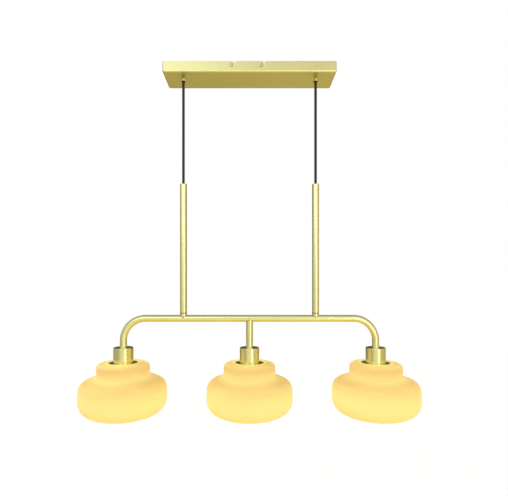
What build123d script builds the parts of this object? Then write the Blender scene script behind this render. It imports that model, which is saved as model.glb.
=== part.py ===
"""Linear ceiling pendant: a folded brass canopy, two cord-hung stems and a bent bar with three opal glass shades.

Millimetres. The origin is the centre of the ceiling bracket's upper face, so the ceiling is z = 0 and the lamp
hangs below it. +Z is up, X runs along the bar and -Y is the front.
"""
import os
from math import hypot

from build123d import *

os.makedirs("parts", exist_ok=True)

# Canopy, a folded sheet box that is open towards the ceiling
canopy_length = 390.0
canopy_depth = 84.0
canopy_height = 24.0
canopy_wall = 1.2
canopy_inner_bend = 2.0

# Bayonet slots in the canopy's front and back walls, and the screws that they hook on
slot_spacing = 67.0
slot_travel = 7.0
screw_diameter = 4.0
screw_drop = 9.0
screw_head_diameter = 7.5
screw_head_height = 2.4
screw_head_round = 1.6
screw_recess_width = 0.9
screw_recess_depth = 1.1
screw_end_stand_out = 3.0

# Ceiling bracket, a folded steel channel inside the canopy
bracket_length = 112.0
bracket_thickness = 1.5
bracket_inner_bend = 0.8
bracket_flange = 14.0
ceiling_slot_spacing = 76.0
ceiling_slot_width = 5.5
ceiling_slot_length = 16.0
cable_hole_diameter = 22.0

# Cord outlets in the canopy floor
ferrule_flange_diameter = 13.5
ferrule_flange_thickness = 2.5
ferrule_flange_round = 1.2
ferrule_mouth_flare = 1.3
ferrule_mouth_depth = 2.0
ferrule_stand_up = 5.8
ferrule_nut_width = 14.0
ferrule_nut_thickness = 2.5
grip_diameter = 15.0
grip_height = 9.0
grip_thread_depth = 3.4
grip_edge = 0.8
cord_tail_stand_out = 0.5

# Terminal block on two studs of the canopy floor
pole_pitch = 13.0
pole_width = 6.5
block_width = 18.0
block_base_height = 6.0
block_height = 14.0
pole_entry_height = 6.5
pole_entry_diameter = 3.4
pole_screw_diameter = 4.0
pole_screw_length = 4.5
pole_screw_spacing = 9.0
stud_diameter = 3.0
stud_nut_width = 5.5
stud_nut_thickness = 2.4
stud_end_stand_out = 1.2

# Wires inside the canopy and the tubes
core_diameter = 1.9
core_spacing = 2.0
core_rise = 5.6
core_bend_radius = 4.5
core_drop_start = 34.0
core_drop_end = 18.0
core_drop_radius = 8.0
core_inserted = 3.0
lead_diameter = 2.8
lead_offset = 1.55
lead_corner_radius = 10.0

# Cords
cord_diameter = 6.0
cord_free_length = 239.0

# Frame tubes
tube_diameter = 16.0
tube_wall = 1.0
stem_spacing = 308.0
stem_length = 298.0
stem_cap_thickness = 2.3
stem_cap_round = 1.2
bush_spigot_length = 16.0
bush_screw_diameter = 4.0
collar_height = 12.6
plug_length = 12.0
arm_pitch = 294.0
arm_bend_radius = 52.0
arm_drop = 67.5

# Threaded nipples
nipple_diameter = 10.0
nipple_bore = 7.0
nipple_in_plug = 10.0
stem_nipple_in_collar = 6.0
holder_nipple_in_holder = 6.0

# Lampholder cups
cup_diameter = 45.0
cup_height = 35.5
cup_wall = 1.0
cup_edge = 1.6

# Lampholders
holder_body_diameter = 38.0
holder_thread_diameter = 39.5
holder_body_length = 24.0
holder_edge = 3.0
holder_top_wall = 7.0
chamber_diameter = 30.0
chamber_height = 7.0
socket_floor = 3.0
socket_mouth_gap = 1.0
wire_hole_diameter = 4.0
shell_wall = 0.5
shell_inset = 6.0
shell_recess = 1.5
contact_width = 6.0
contact_thickness = 0.6
contact_length = 12.0
contact_rise = 3.6

# Shade carriers, gaskets and rings
carrier_thickness = 1.2
carrier_plateau_diameter = 66.0
carrier_flange_diameter = 82.0
carrier_round = 0.5
carrier_recess = 1.0
gasket_width = 4.0
gasket_thickness = 1.0
ring_flange_diameter = 56.0
ring_flange_thickness = 3.0
ring_collar_diameter = 47.0
ring_height = 9.0
ring_rib_count = 16
ring_rib_diameter = 3.0

# Glass shades
shade_diameter = 200.0
shade_height = 124.0
shade_hole_diameter = 69.0
shade_mouth_diameter = 92.0
neck_diameter = 119.0
neck_foot_diameter = 120.6
neck_height = 32.0
neck_drop = 2.5
neck_corner = 9.5
neck_foot_round = 3.0
shoulder_reach = 38.0
shoulder_fall = 11.0
shoulder_rise = 37.5
widest_depth = 82.7
belly_depth = 33.3
belly_reach = 23.5
belly_rise = 2.0
glass_thickness = 3.0
mouth_round = 1.2

# Bulbs
bulb_diameter = 60.0
bulb_length = 82.0
bulb_neck_diameter = 29.0
bulb_neck_length = 6.0
bulb_wall = 1.2
bulb_cap_diameter = 26.0
bulb_cap_length = 20.0
bulb_cap_taper = 4.0
bulb_insulator_diameter = 16.0
bulb_contact_diameter = 9.5
bulb_contact_height = 1.6
bulb_spigot_length = 3.0

# Clearances
thread_clearance = 0.05
hole_clearance = 0.2
slot_clearance = 0.3
running_clearance = 0.35
bracket_clearance = 0.4
head_clearance = 0.1
cord_clearance = 0.15
outlet_clearance = 1.0

# Places that follow from the sizes
canopy_outer_bend = canopy_inner_bend + canopy_wall
canopy_floor_z = canopy_wall - canopy_height
slot_width = screw_diameter + 2 * slot_clearance
entry_places = [-slot_spacing / 2, slot_spacing / 2]
screw_places = [x - slot_travel for x in entry_places]
bracket_depth = canopy_depth - 2 * canopy_wall - 2 * bracket_clearance

ferrule_bore = cord_diameter + 2 * outlet_clearance
ferrule_thread = nipple_diameter
pivot_z = -canopy_height - ferrule_flange_thickness
ferrule_nut_top = canopy_floor_z + ferrule_nut_thickness
grip_top = ferrule_nut_top + grip_height
grip_screw_z = (grip_top + ferrule_nut_top + grip_thread_depth) / 2
tail_bottom = pivot_z + cord_diameter / 2 + slot_clearance
tail_top = grip_top + cord_tail_stand_out
block_base_z = canopy_floor_z + block_base_height
pole_entry_z = canopy_floor_z + pole_entry_height
pole_places = [-pole_pitch, 0, pole_pitch]

tube_bore = tube_diameter - 2 * tube_wall
stem_top = pivot_z - cord_free_length
cord_end = stem_top - stem_cap_thickness - bush_spigot_length
collar_top = stem_top - stem_cap_thickness - stem_length
bar_z = collar_top - collar_height
cup_top = bar_z - arm_drop
cup_bottom = cup_top - cup_height

holder_top = cup_top - cup_wall
chamber_top = holder_top - holder_top_wall
socket_top = chamber_top - chamber_height - socket_floor
contact_tip = socket_top - contact_rise - contact_thickness
shell_top = socket_top - shell_inset
shell_bore = bulb_cap_diameter + 2 * running_clearance
shell_diameter = shell_bore + 2 * shell_wall
bulb_joint = contact_tip - slot_clearance - bulb_contact_height - bulb_cap_taper - bulb_cap_length
holder_bottom = bulb_joint + socket_mouth_gap

rim_z = cup_bottom + carrier_recess
rim_slope = 2 * neck_drop / (neck_diameter - shade_hole_diameter)
gasket_inner = shade_hole_diameter / 2 + glass_thickness / 2
gasket_outer = gasket_inner + gasket_width
seat_z = rim_z - glass_thickness * hypot(1, rim_slope) - rim_slope * (gasket_outer - shade_hole_diameter / 2)
flange_z = seat_z - gasket_thickness
ring_top = cup_bottom - carrier_thickness

stems = {"left": -stem_spacing / 2, "right": stem_spacing / 2}
lamps = {"left": -arm_pitch, "centre": 0, "right": arm_pitch}


def level(x, z):
    """Level plane on a vertical axis, for pieces that are built upwards or downwards from it."""
    return Plane((x, 0, z))


def upright(x, z, y=0):
    """Plane that faces the front, with local axes X and Z, for half sections and screws."""
    return Plane((x, y, z), x_dir=(1, 0, 0), z_dir=(0, -1, 0))


def shade_outline(depth):
    """Draw the glass outline at a depth under its outer surface, and return its two ends."""
    shoulder_slope = shoulder_fall / shoulder_reach
    rim = (shade_hole_diameter / 2, -depth * hypot(1, rim_slope))
    corner_x = neck_diameter / 2 - depth
    corner = (corner_x, rim[1] - rim_slope * (corner_x - rim[0]))
    foot_fall = depth * (hypot(1, shoulder_slope) - shoulder_slope)
    foot = (neck_foot_diameter / 2 - depth, -neck_height - foot_fall)
    widest = (shade_diameter / 2 - depth, -widest_depth)
    mouth = (shade_mouth_diameter / 2, depth - shade_height)
    FilletPolyline(rim, corner, foot, radius=[neck_corner - depth])
    Bezier(
        foot,
        (foot[0] + shoulder_reach, foot[1] - shoulder_fall),
        (widest[0], widest[1] + shoulder_rise - foot_fall),
        widest,
    )
    Bezier(
        widest,
        (widest[0], widest[1] - belly_depth + depth),
        (mouth[0] + belly_reach, mouth[1] + belly_rise),
        mouth,
    )
    return rim, mouth


def keep(piece, node):
    """Label a finished piece and write it as a node of its own."""
    piece.part.label = node
    export_step(piece.part, f"parts/{node}.step")


# Ceiling bracket: a channel with two slotted ceiling holes, a cable hole and four tapped holes
with BuildPart() as ceiling_bracket:
    with BuildSketch(Plane.YZ) as channel:
        Rectangle(bracket_depth, bracket_flange, align=(Align.CENTER, Align.MAX))
        fillet(channel.vertices().group_by(Axis.Y)[-1], bracket_inner_bend + bracket_thickness)
        with Locations((0, -bracket_thickness)):
            Rectangle(
                bracket_depth - 2 * bracket_thickness,
                bracket_flange - bracket_thickness,
                align=(Align.CENTER, Align.MAX),
                mode=Mode.SUBTRACT,
            )
    extrude(amount=bracket_length / 2, both=True)
    inner_top = ceiling_bracket.faces().filter_by(Axis.Z).sort_by(Axis.Z)[-2]
    fillet(inner_top.edges().filter_by(Axis.X), bracket_inner_bend)
    with BuildSketch(Plane.XY):
        Circle(cable_hole_diameter / 2)
        with GridLocations(ceiling_slot_spacing, 0, 2, 1):
            SlotOverall(ceiling_slot_length, ceiling_slot_width)
    extrude(amount=-bracket_thickness, mode=Mode.SUBTRACT)
    with BuildSketch(Plane.XZ):
        with Locations(*[(x, -screw_drop) for x in screw_places]):
            Circle(screw_diameter / 2 + thread_clearance)
    extrude(amount=bracket_depth, both=True, mode=Mode.SUBTRACT)
keep(ceiling_bracket, "ceiling_bracket")

# Canopy screws: four pan-head screws in the bracket's flanges, which the canopy hooks on
head_face_y = -canopy_depth / 2 - head_clearance
shank_length = head_clearance + canopy_wall + bracket_clearance + bracket_thickness + screw_end_stand_out
with BuildPart() as canopy_screws:
    for x in screw_places:
        with BuildSketch(upright(x, -screw_drop, head_face_y)):
            Circle(screw_head_diameter / 2)
        extrude(amount=screw_head_height)
        with BuildSketch(upright(x, -screw_drop, head_face_y)):
            Circle(screw_diameter / 2)
        extrude(amount=-shank_length)
    head_fronts = canopy_screws.faces().group_by(Axis.Y)[0]
    fillet(head_fronts.edges(), screw_head_round)
    with BuildSketch(upright(0, -screw_drop, head_face_y - screw_head_height)):
        with Locations(*[(x, 0) for x in screw_places]):
            Rectangle(screw_head_diameter / 2, screw_recess_width)
            Rectangle(screw_recess_width, screw_head_diameter / 2)
    extrude(amount=-screw_recess_depth, mode=Mode.SUBTRACT)
    mirror(about=Plane.XZ)
keep(canopy_screws, "canopy_screws")

# Canopy: folded box with four L-shaped slots, two cord holes and two welded studs
with BuildPart() as canopy:
    with BuildSketch(Plane.XY.offset(-canopy_height)):
        RectangleRounded(canopy_length, canopy_depth, canopy_outer_bend)
    extrude(amount=canopy_height)
    fillet(canopy.faces().sort_by(Axis.Z)[0].edges(), canopy_outer_bend)
    offset(amount=-canopy_wall, openings=canopy.faces().sort_by(Axis.Z)[-1])
    with BuildSketch(Plane.XZ):
        for x in entry_places:
            with Locations((x, 0)):
                Rectangle(slot_width, screw_drop, align=(Align.CENTER, Align.MAX))
            with Locations((x - slot_travel / 2, -screw_drop)):
                SlotCenterToCenter(slot_travel, slot_width)
    extrude(amount=canopy_depth, both=True, mode=Mode.SUBTRACT)
    with BuildSketch(Plane.XY.offset(-canopy_height)):
        with GridLocations(stem_spacing, 0, 2, 1):
            Circle(ferrule_thread / 2 + hole_clearance)
    extrude(amount=canopy_wall, mode=Mode.SUBTRACT)
    with BuildSketch(Plane.XY.offset(canopy_floor_z)):
        with GridLocations(0, pole_pitch, 1, 2):
            Circle(stud_diameter / 2)
    extrude(amount=block_base_height + stud_nut_thickness + stud_end_stand_out)
keep(canopy, "canopy")

# Ferrules: threaded cord outlets whose beaded flanges show under the canopy, round a flared mouth
for side, x in stems.items():
    with BuildPart() as ferrule:
        with BuildSketch(level(x, pivot_z)):
            Circle(ferrule_flange_diameter / 2)
        extrude(amount=ferrule_flange_thickness)
        fillet(ferrule.faces().sort_by(Axis.Z)[0].edges(), ferrule_flange_round)
        with BuildSketch(level(x, -canopy_height)):
            Circle(ferrule_thread / 2)
        extrude(amount=canopy_wall + ferrule_stand_up)
        with BuildSketch(level(x, pivot_z)):
            Circle(ferrule_bore / 2)
        extrude(amount=ferrule_flange_thickness + canopy_wall + ferrule_stand_up, mode=Mode.SUBTRACT)
        with Locations(level(x, pivot_z)):
            Cone(
                ferrule_bore / 2 + ferrule_mouth_flare,
                ferrule_bore / 2,
                ferrule_mouth_depth,
                align=(Align.CENTER, Align.CENTER, Align.MIN),
                mode=Mode.SUBTRACT,
            )
    keep(ferrule, f"ferrule_{side}")

# Ferrule nuts: one hexagon nut on each ferrule, on the canopy floor
with BuildPart() as ferrule_nuts:
    for x in stems.values():
        with BuildSketch(level(x, canopy_floor_z)):
            RegularPolygon(ferrule_nut_width / 2, 6, major_radius=False)
            Circle(ferrule_thread / 2 + thread_clearance, mode=Mode.SUBTRACT)
        extrude(amount=ferrule_nut_thickness)
keep(ferrule_nuts, "ferrule_nuts")

# Cord grips: plastic caps that screw on the ferrules and clamp the cords
for side, x in stems.items():
    with BuildPart() as cord_grip:
        with BuildSketch(level(x, ferrule_nut_top)):
            Circle(grip_diameter / 2)
        extrude(amount=grip_height)
        fillet(cord_grip.faces().sort_by(Axis.Z)[-1].edges(), grip_edge)
        with BuildSketch(level(x, ferrule_nut_top)):
            Circle(ferrule_thread / 2 + thread_clearance)
        extrude(amount=grip_thread_depth, mode=Mode.SUBTRACT)
        with BuildSketch(level(x, ferrule_nut_top)):
            Circle(cord_diameter / 2 + cord_clearance)
        extrude(amount=grip_height, mode=Mode.SUBTRACT)
        with BuildSketch(upright(x, grip_screw_z)):
            Circle(screw_diameter / 2 + thread_clearance)
        extrude(amount=grip_diameter, mode=Mode.SUBTRACT)
    keep(cord_grip, f"cord_grip_{side}")

# Grip screws: headless screws in the sides of the cord grips
with BuildPart() as grip_screws:
    for x in stems.values():
        with BuildSketch(upright(x, grip_screw_z, -cord_diameter / 2 - cord_clearance)):
            Circle(screw_diameter / 2)
        extrude(amount=(grip_diameter - cord_diameter) / 2)
keep(grip_screws, "grip_screws")

# Cord tails: the stretch of each cord that its grip holds above the outlet
for side, x in stems.items():
    with BuildPart() as cord_tail:
        with BuildSketch(level(x, tail_bottom)):
            Circle(cord_diameter / 2)
        extrude(amount=tail_top - tail_bottom)
    keep(cord_tail, f"cord_tail_{side}")

# Terminal block: three insulated poles on a common base
with BuildPart() as terminal_block:
    with BuildSketch(level(0, canopy_floor_z)):
        Rectangle(block_width, len(pole_places) * pole_pitch)
    extrude(amount=block_base_height)
    with BuildSketch(level(0, canopy_floor_z)):
        with Locations(*[(0, y) for y in pole_places]):
            Rectangle(block_width, pole_width)
    extrude(amount=block_height)
    with BuildSketch(Plane.YZ):
        with Locations(*[(y, pole_entry_z) for y in pole_places]):
            Circle(pole_entry_diameter / 2)
    extrude(amount=block_width, both=True, mode=Mode.SUBTRACT)
    with BuildSketch(level(0, pole_entry_z)):
        with GridLocations(pole_screw_spacing, pole_pitch, 2, len(pole_places)):
            Circle(pole_screw_diameter / 2 + thread_clearance)
    extrude(amount=block_height - pole_entry_height, mode=Mode.SUBTRACT)
    with BuildSketch(level(0, canopy_floor_z)):
        with GridLocations(0, pole_pitch, 1, 2):
            Circle(stud_diameter / 2 + hole_clearance)
    extrude(amount=block_base_height, mode=Mode.SUBTRACT)
keep(terminal_block, "terminal_block")

# Terminal screws: two over each pole, bearing on the wires
with BuildPart() as terminal_screws:
    with BuildSketch(level(0, pole_entry_z + core_diameter / 2 + thread_clearance)):
        with GridLocations(pole_screw_spacing, pole_pitch, 2, len(pole_places)):
            Circle(pole_screw_diameter / 2)
    extrude(amount=pole_screw_length)
keep(terminal_screws, "terminal_screws")

# Terminal nuts: hold the block on the canopy's studs
with BuildPart() as terminal_nuts:
    with BuildSketch(level(0, block_base_z)):
        with GridLocations(0, pole_pitch, 1, 2):
            RegularPolygon(stud_nut_width / 2, 6, major_radius=False)
            Circle(stud_diameter / 2 + thread_clearance, mode=Mode.SUBTRACT)
    extrude(amount=stud_nut_thickness)
keep(terminal_nuts, "terminal_nuts")

# Feed wires: the three cores of each cord, from its tail to the terminal block
for side, x in stems.items():
    towards = 1 if x < 0 else -1
    with BuildPart() as feed_wires:
        for pole_y in pole_places:
            start = Vector(x, pole_y * core_spacing / pole_pitch, tail_top)
            lifted = start + Vector(0, 0, core_rise)
            with BuildLine() as route:
                FilletPolyline(
                    start,
                    lifted,
                    (-towards * core_drop_start, pole_y, lifted.Z),
                    (-towards * core_drop_end, pole_y, pole_entry_z),
                    (-towards * core_inserted, pole_y, pole_entry_z),
                    radius=[core_bend_radius, core_drop_radius, core_drop_radius],
                )
            with BuildSketch(Plane(start)):
                Circle(core_diameter / 2)
            sweep(path=route.wire())
    keep(feed_wires, f"feed_wires_{side}")

# Cords: textile cable from the outlets to the stems, with a rounded top where each cord turns in its outlet
for side, x in stems.items():
    with BuildPart() as cord:
        with BuildSketch(level(x, pivot_z)):
            Circle(cord_diameter / 2)
        extrude(amount=cord_end - pivot_z)
        with Locations((x, 0, pivot_z)):
            Sphere(cord_diameter / 2)
    keep(cord, f"cord_{side}")

# Stem bushes: turned caps that close the stems and hold the cords
bush_screw_z = stem_top - stem_cap_thickness - bush_spigot_length / 2
for side, x in stems.items():
    with BuildPart() as stem_bush:
        with BuildSketch(level(x, stem_top)):
            Circle(tube_diameter / 2)
        extrude(amount=-stem_cap_thickness)
        fillet(stem_bush.faces().sort_by(Axis.Z)[-1].edges(), stem_cap_round)
        with BuildSketch(level(x, stem_top - stem_cap_thickness)):
            Circle(tube_bore / 2 - thread_clearance)
        extrude(amount=-bush_spigot_length)
        with BuildSketch(level(x, stem_top)):
            Circle(cord_diameter / 2 + cord_clearance)
        extrude(amount=-stem_cap_thickness - bush_spigot_length, mode=Mode.SUBTRACT)
        with BuildSketch(upright(x, bush_screw_z)):
            Circle(bush_screw_diameter / 2 + thread_clearance)
        extrude(amount=tube_bore, mode=Mode.SUBTRACT)
    keep(stem_bush, f"stem_bush_{side}")

# Bush screws: headless screws that clamp each cord in its bush
with BuildPart() as bush_screws:
    for x in stems.values():
        with BuildSketch(upright(x, bush_screw_z, -cord_diameter / 2 - cord_clearance)):
            Circle(bush_screw_diameter / 2)
        extrude(amount=(tube_bore - cord_diameter) / 2 - 3 * cord_clearance)
keep(bush_screws, "bush_screws")

# Stems: straight tubes, each with a threaded plug brazed into its lower end
for side, x in stems.items():
    with BuildPart() as stem:
        with BuildSketch(level(x, collar_top)):
            Circle(tube_diameter / 2)
            Circle(tube_bore / 2, mode=Mode.SUBTRACT)
        extrude(amount=stem_length)
        with BuildSketch(level(x, collar_top)):
            Circle(tube_bore / 2)
            Circle(nipple_diameter / 2 + thread_clearance, mode=Mode.SUBTRACT)
        extrude(amount=plug_length)
    keep(stem, f"stem_{side}")

# Stem nipples: threaded tubes that join the stems to the bar's collars
with BuildPart() as stem_nipples:
    for x in stems.values():
        with BuildSketch(level(x, collar_top - stem_nipple_in_collar)):
            Circle(nipple_diameter / 2)
            Circle(nipple_bore / 2, mode=Mode.SUBTRACT)
        extrude(amount=stem_nipple_in_collar + nipple_in_plug)
keep(stem_nipples, "stem_nipples")

# Bar: bent tube with two collars and the centre drop brazed on, and a threaded plug in each lower end
with BuildPart() as bar:
    with BuildLine() as bar_route:
        FilletPolyline(
            (-arm_pitch, 0, cup_top),
            (-arm_pitch, 0, bar_z),
            (arm_pitch, 0, bar_z),
            (arm_pitch, 0, cup_top),
            radius=[arm_bend_radius, arm_bend_radius],
        )
    with BuildSketch(level(-arm_pitch, cup_top)):
        Circle(tube_diameter / 2)
    sweep(path=bar_route.wire())
    with BuildSketch(level(0, bar_z)):
        with GridLocations(stem_spacing, 0, 2, 1):
            Circle(tube_diameter / 2)
    extrude(amount=collar_height)
    with BuildSketch(level(0, bar_z)):
        Circle(tube_diameter / 2)
    extrude(amount=-arm_drop)
    with BuildSketch(level(-arm_pitch, cup_top)):
        Circle(tube_bore / 2)
    sweep(path=bar_route.wire(), mode=Mode.SUBTRACT)
    with BuildSketch(level(0, bar_z)):
        Circle(tube_bore / 2)
    extrude(amount=-arm_drop, mode=Mode.SUBTRACT)
    with BuildSketch(level(0, bar_z)):
        with GridLocations(stem_spacing, 0, 2, 1):
            Circle(nipple_diameter / 2 + thread_clearance)
    extrude(amount=collar_height, mode=Mode.SUBTRACT)
    with BuildSketch(level(0, cup_top)):
        with GridLocations(arm_pitch, 0, 3, 1):
            Circle(tube_bore / 2)
            Circle(nipple_diameter / 2 + thread_clearance, mode=Mode.SUBTRACT)
    extrude(amount=plug_length)
keep(bar, "bar")

# Holder nipples: threaded tubes that carry the cups and lampholders under the bar's ends
with BuildPart() as holder_nipples:
    with BuildSketch(level(0, holder_top - holder_nipple_in_holder)):
        with GridLocations(arm_pitch, 0, 3, 1):
            Circle(nipple_diameter / 2)
            Circle(nipple_bore / 2, mode=Mode.SUBTRACT)
    extrude(amount=holder_nipple_in_holder + cup_wall + nipple_in_plug)
keep(holder_nipples, "holder_nipples")

for lamp, x in lamps.items():
    lamp_axis = Axis((x, 0, 0), (0, 0, 1))

    # Cup: drawn brass cover round the lampholder
    with BuildPart() as cup:
        with BuildSketch(level(x, cup_top)):
            Circle(cup_diameter / 2)
        extrude(amount=-cup_height)
        fillet(cup.faces().sort_by(Axis.Z)[-1].edges(), cup_edge)
        offset(amount=-cup_wall, openings=cup.faces().sort_by(Axis.Z)[0])
        with BuildSketch(level(x, cup_top)):
            Circle(nipple_diameter / 2 + hole_clearance)
        extrude(amount=-cup_wall, mode=Mode.SUBTRACT)
    keep(cup, f"cup_{lamp}")

    # Lampholder: insulating body with a wiring chamber above the socket and a threaded skirt for the ring
    with BuildPart() as lampholder:
        with BuildSketch(level(x, holder_top)):
            Circle(holder_body_diameter / 2)
        extrude(amount=-holder_body_length)
        fillet(lampholder.faces().sort_by(Axis.Z)[-1].edges(), holder_edge)
        with BuildSketch(level(x, holder_top - holder_body_length)):
            Circle(holder_thread_diameter / 2)
        extrude(amount=holder_bottom - holder_top + holder_body_length)
        with BuildSketch(level(x, holder_top)):
            Circle(nipple_diameter / 2 + thread_clearance)
        extrude(amount=-holder_top_wall, mode=Mode.SUBTRACT)
        with BuildSketch(level(x, chamber_top)):
            Circle(chamber_diameter / 2)
        extrude(amount=-chamber_height, mode=Mode.SUBTRACT)
        with BuildSketch(level(x, chamber_top)):
            with GridLocations(chamber_diameter / 2, 0, 2, 1):
                Circle(wire_hole_diameter / 2)
        extrude(amount=-chamber_height - socket_floor, mode=Mode.SUBTRACT)
        with BuildSketch(level(x, socket_top)):
            Circle(shell_diameter / 2 + thread_clearance)
        extrude(amount=holder_bottom - socket_top, mode=Mode.SUBTRACT)
    keep(lampholder, f"lampholder_{lamp}")

    # Screw shell: thin metal sleeve that takes the bulb's cap
    with BuildPart() as screw_shell:
        with BuildSketch(level(x, shell_top)):
            Circle(shell_diameter / 2)
            Circle(shell_bore / 2, mode=Mode.SUBTRACT)
        extrude(amount=holder_bottom + shell_recess - shell_top)
    keep(screw_shell, f"screw_shell_{lamp}")

    # Centre contact: sprung tongue on the socket's floor
    with BuildPart() as centre_contact:
        with BuildSketch(upright(x, socket_top)):
            with BuildLine():
                Polyline(
                    (contact_length / 2, 0),
                    (-contact_length / 2, 0),
                    (0, -contact_rise),
                    (contact_width / 2, -contact_rise),
                )
                offset(amount=contact_thickness, side=Side.LEFT)
            make_face()
        extrude(amount=contact_width / 2, both=True)
    keep(centre_contact, f"centre_contact_{lamp}")

    # Lamp lead: runs from the end of the cord through stem and bar to the wiring chamber
    stem_x = stems["right"] if lamp == "right" else stems["left"]
    lead_y = {"left": -lead_offset, "centre": lead_offset, "right": 0}[lamp]
    with BuildPart() as lamp_lead:
        with BuildLine() as route:
            FilletPolyline(
                (stem_x, lead_y, cord_end),
                (stem_x, lead_y, bar_z),
                (x, lead_y, bar_z),
                (x, lead_y, chamber_top - chamber_height / 2),
                radius=[lead_corner_radius, lead_corner_radius if lamp == "centre" else arm_bend_radius],
            )
        with BuildSketch(Plane((stem_x, lead_y, cord_end))):
            Circle(lead_diameter / 2)
        sweep(path=route.wire())
    keep(lamp_lead, f"lamp_lead_{lamp}")

    # Shade carrier: spun brass plate, clamped under the cup, whose flange holds the glass from inside
    with BuildPart() as shade_carrier:
        with BuildSketch(level(x, cup_bottom)):
            Circle(carrier_plateau_diameter / 2)
        extrude(amount=flange_z - carrier_thickness - cup_bottom)
        with BuildSketch(level(x, flange_z)):
            Circle(carrier_flange_diameter / 2)
        extrude(amount=-carrier_thickness)
        with BuildSketch(level(x, ring_top)):
            Circle(carrier_plateau_diameter / 2 - carrier_thickness)
        extrude(amount=flange_z - carrier_thickness - ring_top, mode=Mode.SUBTRACT)
        with BuildSketch(level(x, cup_bottom)):
            Circle(holder_thread_diameter / 2 + hole_clearance)
        extrude(amount=-carrier_thickness, mode=Mode.SUBTRACT)
        plateau_edge = shade_carrier.faces().filter_by(Axis.Z).sort_by(Axis.Z)[-1].outer_wire().edges()
        fillet(plateau_edge, carrier_round)
    keep(shade_carrier, f"shade_carrier_{lamp}")

    # Shade gasket: soft ring between the carrier's flange and the sloping underside of the glass rim
    with BuildPart() as shade_gasket:
        with BuildSketch(upright(x, seat_z)):
            with BuildLine():
                Polyline(
                    (gasket_inner, -gasket_thickness),
                    (gasket_outer, -gasket_thickness),
                    (gasket_outer, 0),
                    (gasket_inner, rim_slope * gasket_width),
                    close=True,
                )
            make_face()
        revolve(axis=lamp_axis)
    keep(shade_gasket, f"shade_gasket_{lamp}")

    # Shade ring: ribbed ring on the lampholder's thread that presses the carrier up against the cup
    with BuildPart() as shade_ring:
        with BuildSketch(level(x, ring_top)):
            Circle(ring_flange_diameter / 2)
        extrude(amount=-ring_flange_thickness)
        with BuildSketch(level(x, ring_top)):
            Circle(ring_collar_diameter / 2)
            with PolarLocations(ring_collar_diameter / 2, ring_rib_count):
                Circle(ring_rib_diameter / 2)
        extrude(amount=-ring_height)
        with BuildSketch(level(x, ring_top)):
            Circle(holder_thread_diameter / 2 + thread_clearance)
        extrude(amount=-ring_height, mode=Mode.SUBTRACT)
    keep(shade_ring, f"shade_ring_{lamp}")

    # Shade: blown glass with an inturned rim, a short neck, a full shoulder and an open mouth
    with BuildPart() as shade:
        with BuildSketch(upright(x, rim_z)) as wall:
            with BuildLine():
                rim_outside, mouth_outside = shade_outline(0)
                rim_inside, mouth_inside = shade_outline(glass_thickness)
                Line(rim_outside, rim_inside)
                Line(mouth_outside, mouth_inside)
            make_face()
            fillet(wall.vertices().group_by(Axis.Y)[0], mouth_round)
            fillet(wall.vertices().sort_by_distance((neck_foot_diameter / 2, -neck_height))[0], neck_foot_round)
        revolve(axis=lamp_axis)
    keep(shade, f"shade_{lamp}")

    # Bulb globe: diffuser that narrows to its cap
    globe_z = bulb_diameter / 2 - bulb_length
    with BuildPart() as bulb_globe:
        with BuildSketch(upright(x, bulb_joint)):
            with BuildLine():
                Polyline((0, 0), (bulb_neck_diameter / 2, 0), (bulb_neck_diameter / 2, -bulb_neck_length))
                Spline(
                    (bulb_neck_diameter / 2, -bulb_neck_length),
                    (bulb_diameter / 2, globe_z),
                    tangents=((0, -1), (0, -1)),
                )
                CenterArc((0, globe_z), bulb_diameter / 2, 0, -90)
                Line((0, -bulb_length), (0, 0))
            make_face()
        revolve(axis=lamp_axis)
        offset(amount=-bulb_wall, openings=bulb_globe.faces().sort_by(Axis.Z)[-1])
    keep(bulb_globe, f"bulb_globe_{lamp}")

    # Bulb cap: screw cap with its contact, seated in the globe's neck
    with BuildPart() as bulb_cap:
        with BuildSketch(upright(x, bulb_joint)):
            with BuildLine():
                Polyline(
                    (0, -bulb_spigot_length),
                    (bulb_neck_diameter / 2 - bulb_wall - thread_clearance, -bulb_spigot_length),
                    (bulb_neck_diameter / 2 - bulb_wall - thread_clearance, 0),
                    (bulb_cap_diameter / 2, 0),
                    (bulb_cap_diameter / 2, bulb_cap_length),
                    (bulb_insulator_diameter / 2, bulb_cap_length + bulb_cap_taper),
                    (bulb_contact_diameter / 2, bulb_cap_length + bulb_cap_taper),
                    (bulb_contact_diameter / 2, bulb_cap_length + bulb_cap_taper + bulb_contact_height),
                    (0, bulb_cap_length + bulb_cap_taper + bulb_contact_height),
                    close=True,
                )
            make_face()
        revolve(axis=lamp_axis)
    keep(bulb_cap, f"bulb_cap_{lamp}")
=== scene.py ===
# %% [markdown]
# # A linear pendant lamp with three opal glass shades
# The real lamp is a folded brass canopy, two textile cords, two brass stems, a bent brass bar and three amber
# glass shades. The CAD solids already have the right shapes and joints, so this lesson keeps them as a fixed
# frame and adds what they lack: braided cords, loose wires, small turned pieces, finishes and soft studio
# light.

# %% Load the solids
import math

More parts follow.
